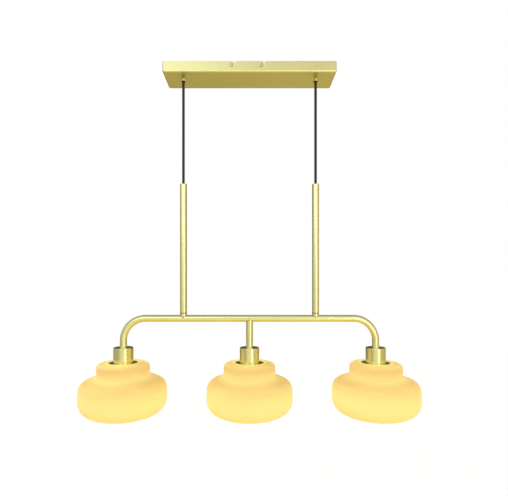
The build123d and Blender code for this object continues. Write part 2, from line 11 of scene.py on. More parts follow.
import bmesh
import bpy
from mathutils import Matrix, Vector


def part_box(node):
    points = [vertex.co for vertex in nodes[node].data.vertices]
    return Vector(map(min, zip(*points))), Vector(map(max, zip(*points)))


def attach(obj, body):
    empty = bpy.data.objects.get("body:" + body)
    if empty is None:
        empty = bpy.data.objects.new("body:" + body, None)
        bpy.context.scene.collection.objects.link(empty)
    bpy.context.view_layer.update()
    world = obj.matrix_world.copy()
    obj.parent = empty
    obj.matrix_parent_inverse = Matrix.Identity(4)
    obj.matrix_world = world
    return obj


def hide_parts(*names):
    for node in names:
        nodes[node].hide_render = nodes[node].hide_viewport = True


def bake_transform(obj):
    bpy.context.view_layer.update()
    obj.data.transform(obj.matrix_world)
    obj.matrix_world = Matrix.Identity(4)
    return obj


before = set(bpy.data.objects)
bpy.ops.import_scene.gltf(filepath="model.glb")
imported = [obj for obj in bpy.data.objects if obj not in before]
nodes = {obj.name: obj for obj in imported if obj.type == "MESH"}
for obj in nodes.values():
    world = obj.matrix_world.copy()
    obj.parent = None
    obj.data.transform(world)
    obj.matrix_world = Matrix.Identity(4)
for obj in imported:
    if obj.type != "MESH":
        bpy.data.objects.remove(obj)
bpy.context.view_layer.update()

# %% [markdown]
# The photograph is taken from in front, a little below the middle of the lamp, with a fairly wide lens. The
# canopy shows its underside and the shades show no mouth, so the lens stands level between the two. A level
# camera with a small shift keeps the stems upright, as they are in the picture; a tilted one would splay
# them.

# %% Camera
photo_width, photo_height = 508, 496
focal_pixels = 421.0
axis_column, horizon_row = 249.5, 280.0

lens = bpy.data.cameras.new("photo_camera")
lens.sensor_width = 36.0
lens.lens = lens.sensor_width * focal_pixels / photo_width
lens.shift_x = (photo_width / 2 - axis_column) / photo_width
lens.shift_y = (horizon_row - photo_height / 2) / photo_width
camera = bpy.data.objects.new("photo_camera", lens)
camera.location = (0.0, -0.9816, -0.489)
camera.rotation_euler = (math.radians(90), 0.0, 0.0)
bpy.context.scene.collection.objects.link(camera)
bpy.context.scene.camera = camera
print(f"camera: {lens.lens:.2f} mm, shift {lens.shift_x:.4f} {lens.shift_y:.4f}")

# %% [markdown]
# Each cord is a round mains cable in a braided textile jacket, held taut by the weight of the lamp. Its line
# is a NURBS spline through the outlet, the free stretch and the bush at the top of the stem. Blender can give
# a curve a round section by itself, so the route is drawn first and turned into a mesh tube when its shape is
# settled.

# %% Cord routes
cord_radius = 0.00312
straight_end = 0.036
cord_x = {side: sum(corner.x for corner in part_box(f"stem_{side}")) / 2 for side in ("left", "right")}
outlet_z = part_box("ferrule_left")[0].z
stem_mouth_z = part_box("stem_bush_left")[1].z
cord_end_z, cord_top_z = (corner.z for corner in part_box("cord_left"))


def route_curve(name, points):
    """A curve object with one smooth NURBS spline that has these control points."""
    curve = bpy.data.curves.new(name, "CURVE")
    curve.dimensions = "3D"
    spline = curve.splines.new("NURBS")
    spline.points.add(len(points) - 1)
    for place, point in zip(spline.points, points):
        place.co = (*point, 1.0)
    spline.order_u = 3
    spline.use_endpoint_u = True
    piece = bpy.data.objects.new(name, curve)
    bpy.context.scene.collection.objects.link(piece)
    return piece


cord_routes = {}
for side, x in cord_x.items():
    heights = (cord_top_z, outlet_z - straight_end, stem_mouth_z + straight_end, cord_end_z)
    cord_routes[side] = route_curve(f"braided_cord_{side}", [(x, 0.0, height) for height in heights])
print(f"cords: {cord_top_z - cord_end_z:.4f} m each, of which {outlet_z - stem_mouth_z:.4f} m hang free")

# %% [markdown]
# A bare tube would look like black wire, so the jacket's crossing carriers are pressed into the mesh: where
# one carrier lies over, the other lies under. Sines of angle and height about the cord give that relief
# directly on the tube's own vertices, which is lighter than modelling sixteen separate bundles of yarn.

# %% Tubes and braid
carriers, braid_lay, braid_height = 8, 0.024, 0.00016


def baked_mesh(piece):
    """The mesh that Blender makes of a curve object as it is now."""
    bpy.context.view_layer.update()
    return bpy.data.meshes.new_from_object(piece.evaluated_get(bpy.context.evaluated_depsgraph_get()))


def tube_from(piece, radius, along, around):
    """Turn a route into a closed mesh tube, and return the tube and the points that it follows."""
    piece.data.resolution_u = along
    line = baked_mesh(piece)
    path = [vertex.co.copy() for vertex in line.vertices]
    bpy.data.meshes.remove(line)
    piece.data.bevel_depth = radius
    piece.data.bevel_resolution = around // 4 - 2
    piece.data.use_fill_caps = True
    mesh = baked_mesh(piece)
    name = piece.name
    bpy.data.objects.remove(piece)
    tube = bpy.data.objects.new(name, mesh)
    bpy.context.scene.collection.objects.link(tube)
    for face in mesh.polygons:
        face.use_smooth = True
    return tube, path


def press_braid(tube, x):
    """Press the relief of the jacket's carriers into an upright tube."""
    for vertex in tube.data.vertices:
        off_axis = Vector((vertex.co.x - x, vertex.co.y))
        if off_axis.length < cord_radius / 2:
            continue
        turn = math.atan2(off_axis.y, off_axis.x)
        climb = 2 * math.pi * vertex.co.z / braid_lay
        right, left = carriers * (turn + climb) / 2, carriers * (turn - climb) / 2
        weave = 0.5 + 0.5 * math.sin(right) * math.sin(left) * (1 if math.cos(right - left) > 0 else -1)
        pressed = off_axis.normalized() * (cord_radius - braid_height * (1 - abs(weave)))
        vertex.co.x, vertex.co.y = x + pressed.x, pressed.y


print(f"braid: {carriers} carriers each way, one turn in {braid_lay * 1000:.0f} mm")

cords = {}
for side, x in cord_x.items():
    cord, path = tube_from(cord_routes[side], cord_radius, along=160, around=48)
    press_braid(cord, x)
    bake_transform(cord)
    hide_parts(f"cord_{side}")
    cords[side] = cord
    print(cord.name, len(cord.data.polygons), "faces")

# %% [markdown]
# Above each outlet the cord goes on into its grip inside the canopy, where the jacket ends and three
# insulated cores run on to the terminal block. The cores are loose wires, so each one is a smooth spline of
# its own.

# %% Cord tails and cores
tail_low_z, tail_high_z = (corner.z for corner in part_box("cord_tail_left"))
core_radius, core_rise, core_step = 0.0012, 0.0056, 0.002
fan_x, fan_share = 0.120, 0.6
drop_from_x, drop_to_x, entry_x, end_x = 0.034, 0.018, 0.010, 0.003
entry_z = -0.0163
poles = (-0.013, 0.0, 0.013)

tails, cores = {}, {}
for side, x in cord_x.items():
    middle_z = (tail_low_z + tail_high_z) / 2
    route = route_curve(f"braided_tail_{side}", [(x, 0.0, z) for z in (tail_low_z, middle_z, tail_high_z)])
    tails[side] = tube_from(route, cord_radius, along=12, around=48)[0]
    press_braid(tails[side], x)
    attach(tails[side], "canopy")
    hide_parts(f"cord_tail_{side}")
    sign = 1 if x > 0 else -1
    for number, pole_y in enumerate(poles):
        start_y, top_z = (number - 1) * core_step, tail_high_z + core_rise
        points = [
            (x, start_y, tail_high_z), (x, start_y, top_z), (sign * fan_x, pole_y * fan_share, top_z),
            (sign * drop_from_x, pole_y, top_z), (sign * drop_to_x, pole_y, entry_z),
            (sign * entry_x, pole_y, entry_z), (sign * end_x, pole_y, entry_z),
        ]
        route = route_curve(f"core_{side}_{number + 1}", points)
        core = tube_from(route, core_radius, along=16, around=16)[0]
        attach(core, "canopy")
        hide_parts(f"feed_wires_{side}")
        cores[side, number] = core
print("tails:", len(tails), "cores:", len(cores))

# %% [markdown]
# A black plastic bush lines the mouth of each brass outlet, so that the jacket doesn't chafe on the metal. It
# could be cut from a tube, but spinning its section about the cord gives the flare and the lip in one step.
# The lip's two edges are bevelled afterwards, because no moulded edge is knife sharp.

# %% Bushes in the cord outlets
bush_section = [(5.15, 0.15), (3.92, 2.05), (3.92, 6.0), (3.45, 6.0), (3.45, 2.3), (4.70, 0.15)]
millimetre = 0.001
lip_height, lip_rounding, merge_distance = 0.0005, 0.00012, 0.00001


def spun_piece(name, x, section, rounded_below, steps=64):
    """Spin a closed section of (radius, height) points about an upright axis, and bevel its low edges."""
    shape = bmesh.new()
    points = [shape.verts.new((x + radius, 0.0, height)) for radius, height in section]
    edges = [shape.edges.new((point, points[number - 1])) for number, point in enumerate(points)]
    bmesh.ops.spin(shape, geom=points + edges, cent=(x, 0, 0), axis=(0, 0, 1), angle=2 * math.pi, steps=steps,
                   use_merge=True)
    bmesh.ops.remove_doubles(shape, verts=shape.verts, dist=merge_distance)
    bmesh.ops.recalc_face_normals(shape, faces=shape.faces)
    rings = []
    for edge in shape.edges:
        first, second = ((vert.co.xy - Vector((x, 0.0))).length for vert in edge.verts)
        if abs(first - second) < merge_distance and max(vert.co.z for vert in edge.verts) < rounded_below:
            rings.append(edge)
    bmesh.ops.bevel(shape, geom=rings, offset=lip_rounding, offset_type="OFFSET", segments=2, profile=0.5,
                    affect="EDGES", material=-1)
    mesh = bpy.data.meshes.new(name)
    shape.to_mesh(mesh)
    shape.free()
    piece = bpy.data.objects.new(name, mesh)
    bpy.context.scene.collection.objects.link(piece)
    mesh.shade_smooth()
    return piece


outlet_bushes = {}
for side, x in cord_x.items():
    section = [(radius * millimetre, outlet_z + height * millimetre) for radius, height in bush_section]
    outlet_bushes[side] = spun_piece(f"outlet_bush_{side}", x, section, outlet_z + lip_height)
    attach(outlet_bushes[side], "canopy")
print("outlet bushes:", [len(piece.data.polygons) for piece in outlet_bushes.values()])

# %% [markdown]
# The finishes are node trees. A few short helpers keep them readable: some add one node and wire it, one
# starts a material with a Principled shader, and one starts a group. A group holds an effect that several
# finishes share, such as brushing or wear, and hands out only masks and values; the shader itself stays in
# the material.

# %% Helpers for single nodes
def add_node(tree, kind, inputs=None, **options):
    """Add a node, set its options, and set or link its inputs by name or number."""
    node = tree.nodes.new(kind)
    for option, value in options.items():
        setattr(node, option, value)
    for socket, value in (inputs or {}).items():
        if isinstance(value, bpy.types.NodeSocket):
            tree.links.new(value, node.inputs[socket])
        else:
            node.inputs[socket].default_value = value
    return node


def math_node(tree, operation, *values):
    """The result of a Math node on sockets or numbers."""
    return add_node(tree, "ShaderNodeMath", dict(enumerate(values)), operation=operation).outputs[0]


def mapped(tree, value, low, high, from_low=0.0, from_high=1.0):
    """A value moved from one range to another and held inside it."""
    inputs = {"Value": value, "From Min": from_low, "From Max": from_high, "To Min": low, "To Max": high}
    return add_node(tree, "ShaderNodeMapRange", inputs).outputs[0]


def mixed(tree, share, first, second):
    """Two colours mixed by a share."""
    return add_node(tree, "ShaderNodeMix", {0: share, 6: first, 7: second}, data_type="RGBA").outputs[2]


def noise(tree, vector, scale, detail=2.0, roughness=0.5):
    """A Noise texture's value."""
    inputs = {"Vector": vector, "Scale": scale, "Detail": detail, "Roughness": roughness}
    return add_node(tree, "ShaderNodeTexNoise", inputs).outputs[0]


def split_vector(tree, vector):
    """The X, Y and Z of a vector."""
    return add_node(tree, "ShaderNodeSeparateXYZ", {0: vector}).outputs


def surface_normal(tree):
    """The direction that the surface faces."""
    return add_node(tree, "ShaderNodeNewGeometry").outputs["Normal"]


print("node helpers ready, Blender", bpy.app.version_string)

# %% Helpers for groups and finishes
def start_group(name, inputs, outputs):
    """A shader group with named sockets, as its tree, its input sockets and its output node."""
    tree = bpy.data.node_groups.new(name, "ShaderNodeTree")
    for socket, (kind, value) in inputs.items():
        made = tree.interface.new_socket(socket, in_out="INPUT", socket_type="NodeSocket" + kind)
        if value is not None:
            made.default_value = value
    for socket, kind in outputs.items():
        tree.interface.new_socket(socket, in_out="OUTPUT", socket_type="NodeSocket" + kind)
    return tree, tree.nodes.new("NodeGroupInput").outputs, tree.nodes.new("NodeGroupOutput")


def use_group(tree, name, **inputs):
    """Place a group in a tree and return its outputs."""
    group = tree.nodes.new("ShaderNodeGroup")
    group.node_tree = bpy.data.node_groups[name]
    for socket, value in inputs.items():
        if isinstance(value, bpy.types.NodeSocket):
            tree.links.new(value, group.inputs[socket])
        else:
            group.inputs[socket].default_value = value
    return group.outputs


def start_finish(name, **plain):
    """A material with one Principled shader, whose plain values are set on its own sockets."""
    finish = bpy.data.materials.new(name)
    finish.use_nodes = True
    tree = finish.node_tree
    shader = tree.nodes["Principled BSDF"]
    for socket, value in plain.items():
        shader.inputs[socket.replace("_", " ")].default_value = value
    place = tree.nodes.new("ShaderNodeTexCoord").outputs["Object"]
    return finish, tree, shader, place


def add_bump(tree, shader, height, strength, distance):
    """Feed a height to the shader's normal."""
    bump = add_node(tree, "ShaderNodeBump", {"Height": height, "Strength": strength, "Distance": distance})
    tree.links.new(bump.outputs[0], shader.inputs["Normal"])


print("helpers for groups and finishes ready")

# %% [markdown]
# Worked metal carries the marks of its tool. Sheet and tube are brushed along their length, which a noise
# that is stretched along one axis gives. Turned pieces have fine rings about their own axis: there the noise
# runs on distance and height. Wrapping X by the spacing of the lamps lets one finish serve all three of them.

# %% Group for brushed metal
tree, given, result = start_group(
    "brushed_lines", {"Vector": ("Vector", None), "Across": ("Float", 2600.0), "Along": ("Float", 24.0)},
    {"Lines": "Float", "Cloud": "Float"})
parts = split_vector(tree, given["Vector"])
stretched = add_node(tree, "ShaderNodeCombineXYZ", {
    0: math_node(tree, "MULTIPLY", parts[0], given["Along"]),
    1: math_node(tree, "MULTIPLY", parts[1], given["Across"]),
    2: math_node(tree, "MULTIPLY", parts[2], given["Across"])}).outputs[0]
tree.links.new(noise(tree, stretched, scale=1.0, detail=3.0, roughness=0.6), result.inputs["Lines"])
tree.links.new(noise(tree, given["Vector"], scale=9.0, detail=3.0), result.inputs["Cloud"])
print("group:", tree.name)

# %% Group for turned metal
lamp_pitch, breaks = 0.294, 1.6

tree, given, result = start_group(
    "turned_rings", {"Vector": ("Vector", None), "Pitch": ("Float", lamp_pitch), "Shift": ("Float", 0.0),
                     "Rings": ("Float", 2400.0)},
    {"Lines": "Float", "Cloud": "Float", "Distance": "Float"})
parts = split_vector(tree, given["Vector"])
half = math_node(tree, "MULTIPLY", given["Pitch"], 0.5)
moved = math_node(tree, "ADD", parts[0], given["Shift"])
from_axis = math_node(tree, "WRAP", moved, half, math_node(tree, "MULTIPLY", half, -1.0))
squares = [math_node(tree, "MULTIPLY", value, value) for value in (from_axis, parts[1])]
distance = math_node(tree, "SQRT", math_node(tree, "ADD", *squares))
rings = add_node(tree, "ShaderNodeCombineXYZ", {
    0: math_node(tree, "MULTIPLY", distance, given["Rings"]),
    1: math_node(tree, "MULTIPLY", parts[2], given["Rings"]),
    2: math_node(tree, "MULTIPLY", math_node(tree, "ARCTAN2", parts[1], from_axis), breaks)}).outputs[0]
tree.links.new(noise(tree, rings, scale=1.0, detail=3.0, roughness=0.6), result.inputs["Lines"])
tree.links.new(noise(tree, given["Vector"], scale=14.0, detail=3.0), result.inputs["Cloud"])
tree.links.new(distance, result.inputs["Distance"])
print("group:", tree.name)

# %% [markdown]
# Lamps are handled when they are hung and when bulbs are changed, so the lacquer has faint smudges, and
# corners are rubbed a little brighter. A rounded normal from the Bevel node differs from the true one only
# near an edge, which makes a wear mask that works on any solid without UVs.

# %% Groups for handling and worn edges
tree, given, result = start_group(
    "handling_marks", {"Vector": ("Vector", None), "Size": ("Float", 24.0)}, {"Smudge": "Float"})
broad = noise(tree, given["Vector"], given["Size"], detail=4.0, roughness=0.55)
tree.links.new(mapped(tree, broad, 0.0, 1.0, 0.46, 0.68), result.inputs["Smudge"])

tree, given, result = start_group("edge_wear", {"Radius": ("Float", 0.0006)}, {"Edge": "Float"})
rounded = add_node(tree, "ShaderNodeBevel", {"Radius": given["Radius"]}, samples=6).outputs[0]
agree = add_node(tree, "ShaderNodeVectorMath", {0: rounded, 1: surface_normal(tree)}, operation="DOT_PRODUCT")
tree.links.new(mapped(tree, agree.outputs["Value"], 1.0, 0.0, 0.90, 0.995), result.inputs["Edge"])
print("groups:", [group.name for group in bpy.data.node_groups])

# %% [markdown]
# The brass is satin and clear lacquered: pale greenish yellow, with soft wide highlights. It could be one
# metal for all pieces, but sheet, tube and turned parts catch the light differently, so one recipe takes each
# kind of marks. The marks stay faint, because at arm's length satin brass looks almost even.

# %% Satin brass
brass_light, brass_deep, brass_worn = (0.85, 0.83, 0.42, 1), (0.79, 0.76, 0.34, 1), (0.91, 0.89, 0.54, 1)
cloud_share, line_share, smudge_share, rubbed_share = 0.5, 0.15, 0.10, 0.5


def satin_brass(name, marks, turn=(0.0, 0.0, 0.0), roughness=0.30, rubbed=0.0005, **settings):
    """Lacquered brass with the marks of brushed_lines or turned_rings, rubbed bright this far from edges."""
    finish, tree, shader, place = start_finish(
        name, Metallic=1.0, Coat_Weight=0.10, Coat_Roughness=0.28, Coat_IOR=1.5)
    turned = add_node(tree, "ShaderNodeMapping", {"Vector": place, "Rotation": turn}).outputs[0]
    work = use_group(tree, marks, Vector=turned, **settings)
    wear = use_group(tree, "edge_wear", Radius=rubbed)
    hand = use_group(tree, "handling_marks", Vector=place, Size=21.0)
    tone = mixed(tree, mapped(tree, work["Cloud"], 0.0, cloud_share, 0.35, 0.70), brass_light, brass_deep)
    tone = mixed(tree, mapped(tree, work["Lines"], 0.0, line_share, 0.40, 0.75), tone, brass_deep)
    tone = mixed(tree, math_node(tree, "MULTIPLY", hand["Smudge"], smudge_share), tone, brass_deep)
    tone = mixed(tree, math_node(tree, "MULTIPLY", wear["Edge"], rubbed_share), tone, brass_worn)
    tree.links.new(tone, shader.inputs["Base Color"])
    rough = mapped(tree, work["Lines"], roughness - 0.01, roughness + 0.02, 0.25, 0.75)
    rough = math_node(tree, "ADD", rough, math_node(tree, "MULTIPLY", hand["Smudge"], 0.03))
    rough = math_node(tree, "SUBTRACT", rough, math_node(tree, "MULTIPLY", wear["Edge"], 0.04))
    tree.links.new(rough, shader.inputs["Roughness"])
    add_bump(tree, shader, work["Lines"], strength=0.02, distance=0.00003)
    return finish


quarter = math.radians(90)
cord_spacing = 2 * cord_x["right"]
brass_sheet = satin_brass("brass_sheet", "brushed_lines", roughness=0.38, Across=2600.0, Along=16.0)
brass_bar = satin_brass("brass_bar", "brushed_lines", roughness=0.29, Across=1800.0, Along=180.0)
brass_stem = satin_brass(
    "brass_stem", "brushed_lines", turn=(0.0, quarter, 0.0), roughness=0.29, Across=2600.0, Along=16.0)
brass_turned = satin_brass(
    "brass_turned", "turned_rings", roughness=0.26, Pitch=lamp_pitch, Shift=0.0, Rings=2400.0)
brass_bush = satin_brass(
    "brass_bush", "turned_rings", roughness=0.20, rubbed=0.0015, Pitch=cord_spacing, Shift=cord_spacing / 2,
    Rings=2600.0)
brass_screw = satin_brass(
    "brass_screw", "brushed_lines", roughness=0.24, rubbed=0.0003, Across=1500.0, Along=1500.0)
print("brass finishes:", [m.name for m in bpy.data.materials if m.name.startswith("brass")])

# %% [markdown]
# Where two brass pieces meet, the colour darkens: a dark joint line at the foot of each stem, painted shade
# at the foot of the collars and the drop that are brazed to the bar, and painted shade round the domed rim of
# the canopy's screw heads. Each mark is a mask from the place or the facing of the surface, mixed over the
# finished colour, so the shapes stay untouched.

# %% Dark seams and painted shade
seam_and_shade_tone = (0.26, 0.20, 0.055, 1)
dark_band_start, dark_band_end = 0.0005, 0.0014


def mix_seam_and_shade(finish, mask):
    """Mix the dark seam and painted shade tone over a finish where the mask is 1."""
    tree = finish.node_tree
    colour = tree.nodes["Principled BSDF"].inputs["Base Color"]
    tree.links.new(mixed(tree, mask, colour.links[0].from_socket, seam_and_shade_tone), colour)


def near_level(finish, level):
    """A finish's coordinates, and a mask of what lies close to a height."""
    tree = finish.node_tree
    place = tree.nodes["Texture Coordinate"].outputs["Object"]
    parts = split_vector(tree, place)
    gap = math_node(tree, "ABSOLUTE", math_node(tree, "SUBTRACT", parts[2], level))
    return parts, mapped(tree, gap, 1.0, 0.0, dark_band_start, dark_band_end)


stem_low, stem_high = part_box("stem_left")
mix_seam_and_shade(brass_stem, near_level(brass_stem, stem_low.z)[1])
print(f"seam at the foot of the stems: {stem_low.z:.4f} m")

# %% Seams and painted shade of the brazed joints
collar_rise, bend_begins = 0.0126, 0.20
off_tube, collar_shade_strength = 0.00012, 0.8
tube_radius = (stem_high.x - stem_low.x) / 2

parts, foot_seam = near_level(brass_bar, stem_low.z)
# Painted shade: the collars and the drop darken towards where they meet the bar.
tree = brass_bar.node_tree
above = math_node(tree, "SUBTRACT", parts[2], stem_low.z - collar_rise)
squares = [math_node(tree, "MULTIPLY", value, value) for value in (parts[1], above)]
lifted = math_node(tree, "SUBTRACT", math_node(tree, "SQRT", math_node(tree, "ADD", *squares)), tube_radius)
collar = math_node(tree, "GREATER_THAN", lifted, off_tube)
straight = math_node(tree, "LESS_THAN", math_node(tree, "ABSOLUTE", parts[0]), bend_begins)
collar_foot_shade = math_node(tree, "MULTIPLY", mapped(tree, lifted, collar_shade_strength, 0.0, dark_band_start, dark_band_end), collar)
mix_seam_and_shade(brass_bar, math_node(tree, "MAXIMUM", math_node(tree, "MULTIPLY", collar_foot_shade, straight), foot_seam))
print(f"seams round a tube of {tube_radius * 2000:.1f} mm")

# %% Painted shade round the screw heads
tree = brass_screw.node_tree
# Painted shade: the domed rim of each screw head, which turns away from the front, is darkened.
frontal = math_node(tree, "ABSOLUTE", split_vector(tree, surface_normal(tree))[1])
mix_seam_and_shade(brass_screw, mapped(tree, frontal, 0.9, 0.0, 0.35, 0.85))
print("darkened:", brass_stem.name, brass_bar.name, brass_screw.name)

# %% [markdown]
# The shades are amber opal glass with an acid-etched, satin outside. Light scatters in such glass instead of
# passing straight through, so it looks creamy and even. Subsurface scattering with a short reach gives that;
# a clear glass shader would show the bulbs. Faint clouds and streaks of the blowing keep it from looking
# printed.

# %% Group for blown opal glass
tree, given, result = start_group(
    "opal_clouding", {"Vector": ("Vector", None), "Size": ("Float", 16.0)},
    {"Cloud": "Float", "Streak": "Float"})
clouds = noise(tree, given["Vector"], given["Size"], detail=3.0)
tree.links.new(mapped(tree, clouds, 0.0, 1.0, 0.32, 0.68), result.inputs["Cloud"])
wrung = add_node(tree, "ShaderNodeMapping", {"Vector": given["Vector"], "Scale": (1.0, 1.0, 5.0),
                                             "Rotation": (0.12, 0.08, 0.0)}).outputs[0]
finer = math_node(tree, "MULTIPLY", given["Size"], 1.7)
streaks = noise(tree, wrung, finer, detail=4.0, roughness=0.55)
tree.links.new(mapped(tree, streaks, 0.0, 1.0, 0.40, 0.70), result.inputs["Streak"])

tree, given, result = start_group(
    "moulded_grain", {"Vector": ("Vector", None), "Size": ("Float", 1800.0)},
    {"Grain": "Float", "Flow": "Float"})
grains = noise(tree, given["Vector"], given["Size"], detail=3.0, roughness=0.6)
tree.links.new(grains, result.inputs["Grain"])
tree.links.new(noise(tree, given["Vector"], scale=60.0), result.inputs["Flow"])
print("groups:", len(bpy.data.node_groups))

# %% [markdown]
# The picture shows the shades alight: the belly is the brightest, the neck is more orange, and the shoulder,
# which the bulb reaches at a slant, is the dullest. A colour ramp over the height of the glass gives that
# glow, and the room's own light adds the rest. The cut edge round the hole in the top leads light out, so it
# glows a little more.

# %% Amber glass
shade_low, shade_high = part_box("shade_centre")
hole_radius, rim_width = 0.0345, 0.008
glow_stops = [
    (0.00, (0.38, 0.27, 0.08)), (0.05, (0.33, 0.21, 0.08)), (0.14, (0.37, 0.25, 0.10)),
    (0.245, (0.45, 0.35, 0.14)), (0.31, (0.31, 0.18, 0.06)), (0.38, (0.36, 0.25, 0.09)),
    (0.50, (0.46, 0.39, 0.14)), (0.68, (0.52, 0.46, 0.17)), (0.86, (0.54, 0.44, 0.16)),
    (1.00, (0.55, 0.40, 0.14)),
]

amber_glass, tree, shader, place = start_finish(
    "amber_opal_glass", IOR=1.5, Specular_IOR_Level=0.3, Subsurface_Weight=0.35,
    Subsurface_Radius=(1.0, 0.55, 0.16), Subsurface_Scale=0.006, Emission_Strength=1.0)
cloud = use_group(tree, "opal_clouding", Vector=place, Size=15.0)
amber = mixed(tree, cloud["Cloud"], (0.55, 0.42, 0.14, 1), (0.58, 0.45, 0.155, 1))
amber = mixed(tree, mapped(tree, cloud["Streak"], 0.0, 0.3), amber, (0.61, 0.49, 0.18, 1))
tree.links.new(amber, shader.inputs["Base Color"])

height = split_vector(tree, place)[2]
ramp = add_node(tree, "ShaderNodeValToRGB", {0: mapped(tree, height, 0.0, 1.0, shade_high.z, shade_low.z)})
ramp.color_ramp.interpolation = "CARDINAL"
for number, (share, glow) in enumerate(glow_stops):
    stops = ramp.color_ramp.elements
    stop = stops[number] if number < len(stops) else stops.new(share)
    stop.position, stop.color = share, (*glow, 1)
glow = mixed(tree, mapped(tree, cloud["Streak"], 0.0, 0.06), ramp.outputs["Color"], (0.60, 0.52, 0.22, 1))
from_axis = use_group(tree, "turned_rings", Vector=place)["Distance"]
near_hole = mapped(tree, from_axis, 0.9, 0.0, hole_radius, hole_radius + rim_width)
near_top = mapped(tree, height, 0.0, 1.0, shade_high.z - rim_width, shade_high.z - rim_width / 2)
cut_edge = math_node(tree, "MULTIPLY", near_hole, near_top)
tree.links.new(mixed(tree, cut_edge, glow, (0.62, 0.50, 0.15, 1)), shader.inputs["Emission Color"])

hand = use_group(tree, "handling_marks", Vector=place, Size=18.0)
grain = use_group(tree, "moulded_grain", Vector=place, Size=2600.0)
tree.links.new(mapped(tree, hand["Smudge"], 0.54, 0.46), shader.inputs["Roughness"])
add_bump(tree, shader, grain["Grain"], strength=0.06, distance=0.00005)
print("glass:", amber_glass.name, "glow stops:", len(ramp.color_ramp.elements))

# %% [markdown]
# The bulbs have a milky plastic diffuser and a nickel-plated cap. The diffuser is drawn like the glass, only
# whiter and with a warm glow of its own, so that it reads as a bulb through the open mouth of the shade.

# %% Bulb diffuser
milky_bulb, tree, shader, place = start_finish(
    "milky_diffuser", IOR=1.49, Subsurface_Weight=0.4, Subsurface_Radius=(1.0, 0.9, 0.7),
    Subsurface_Scale=0.004, Emission_Strength=0.30)
cloud = use_group(tree, "opal_clouding", Vector=place, Size=30.0)
milk = mixed(tree, cloud["Cloud"], (0.86, 0.84, 0.78, 1), (0.90, 0.88, 0.83, 1))
tree.links.new(milk, shader.inputs["Base Color"])
warm = mixed(tree, cloud["Cloud"], (1.0, 0.86, 0.62, 1), (1.0, 0.90, 0.70, 1))
tree.links.new(warm, shader.inputs["Emission Color"])
grain = use_group(tree, "moulded_grain", Vector=place, Size=2200.0)
tree.links.new(mapped(tree, grain["Flow"], 0.32, 0.44), shader.inputs["Roughness"])
add_bump(tree, shader, grain["Grain"], strength=0.05, distance=0.00004)
print("diffuser:", milky_bulb.name)

# %% Bulb cap
nickel_cap, tree, shader, place = start_finish("nickel_cap", Metallic=1.0)
rings = use_group(tree, "turned_rings", Vector=place, Rings=1200.0)
wear = use_group(tree, "edge_wear", Radius=0.0004)
polished = mapped(tree, rings["Lines"], 0.0, 1.0, 0.3, 0.7)
nickel = mixed(tree, polished, (0.66, 0.63, 0.57, 1), (0.74, 0.71, 0.65, 1))
tree.links.new(mixed(tree, wear["Edge"], nickel, (0.84, 0.81, 0.75, 1)), shader.inputs["Base Color"])
tree.links.new(mapped(tree, rings["Lines"], 0.20, 0.34, 0.3, 0.7), shader.inputs["Roughness"])
add_bump(tree, shader, rings["Lines"], strength=0.08, distance=0.00006)
print("cap:", nickel_cap.name)

# %% [markdown]
# Screws and nuts inside are zinc-plated steel. Zinc grows in flat crystals, so a Voronoi pattern shifts tone
# and gloss from patch to patch. Nipples, contacts and terminal screws are bare turned brass, a shade redder
# than the lacquered tubes and dulled where hands have been.

# %% Zinc-plated steel
zinc_steel, tree, shader, place = start_finish("zinc_steel", Metallic=1.0)
crystal = add_node(tree, "ShaderNodeTexVoronoi", {"Vector": place, "Scale": 260.0}).outputs["Color"]
patch = add_node(tree, "ShaderNodeSeparateColor", {0: crystal}).outputs[0]
wear = use_group(tree, "edge_wear", Radius=0.0004)
hand = use_group(tree, "handling_marks", Vector=place, Size=30.0)
dulled = math_node(tree, "MULTIPLY", hand["Smudge"], 0.4)
zinc = mixed(tree, patch, (0.54, 0.55, 0.56, 1), (0.68, 0.68, 0.67, 1))
zinc = mixed(tree, dulled, zinc, (0.46, 0.46, 0.46, 1))
tree.links.new(mixed(tree, wear["Edge"], zinc, (0.80, 0.80, 0.79, 1)), shader.inputs["Base Color"])
rough = math_node(tree, "ADD", mapped(tree, patch, 0.26, 0.40), math_node(tree, "MULTIPLY", dulled, 0.25))
tree.links.new(rough, shader.inputs["Roughness"])
add_bump(tree, shader, patch, strength=0.04, distance=0.00004)
print("plating:", zinc_steel.name)

# %% Bare brass
bare_brass, tree, shader, place = start_finish("bare_brass", Metallic=1.0)
rings = use_group(tree, "turned_rings", Vector=place, Pitch=lamp_pitch / 2, Rings=1600.0)
wear = use_group(tree, "edge_wear", Radius=0.0003)
hand = use_group(tree, "handling_marks", Vector=place, Size=60.0)
bare = mixed(tree, rings["Cloud"], (0.76, 0.63, 0.26, 1), (0.84, 0.73, 0.34, 1))
bare = mixed(tree, math_node(tree, "MULTIPLY", hand["Smudge"], 0.5), bare, (0.56, 0.40, 0.15, 1))
tree.links.new(mixed(tree, wear["Edge"], bare, (0.92, 0.80, 0.46, 1)), shader.inputs["Base Color"])
tree.links.new(mapped(tree, rings["Lines"], 0.22, 0.38, 0.3, 0.7), shader.inputs["Roughness"])
add_bump(tree, shader, rings["Lines"], strength=0.10, distance=0.00006)
print("bare metal:", bare_brass.name)
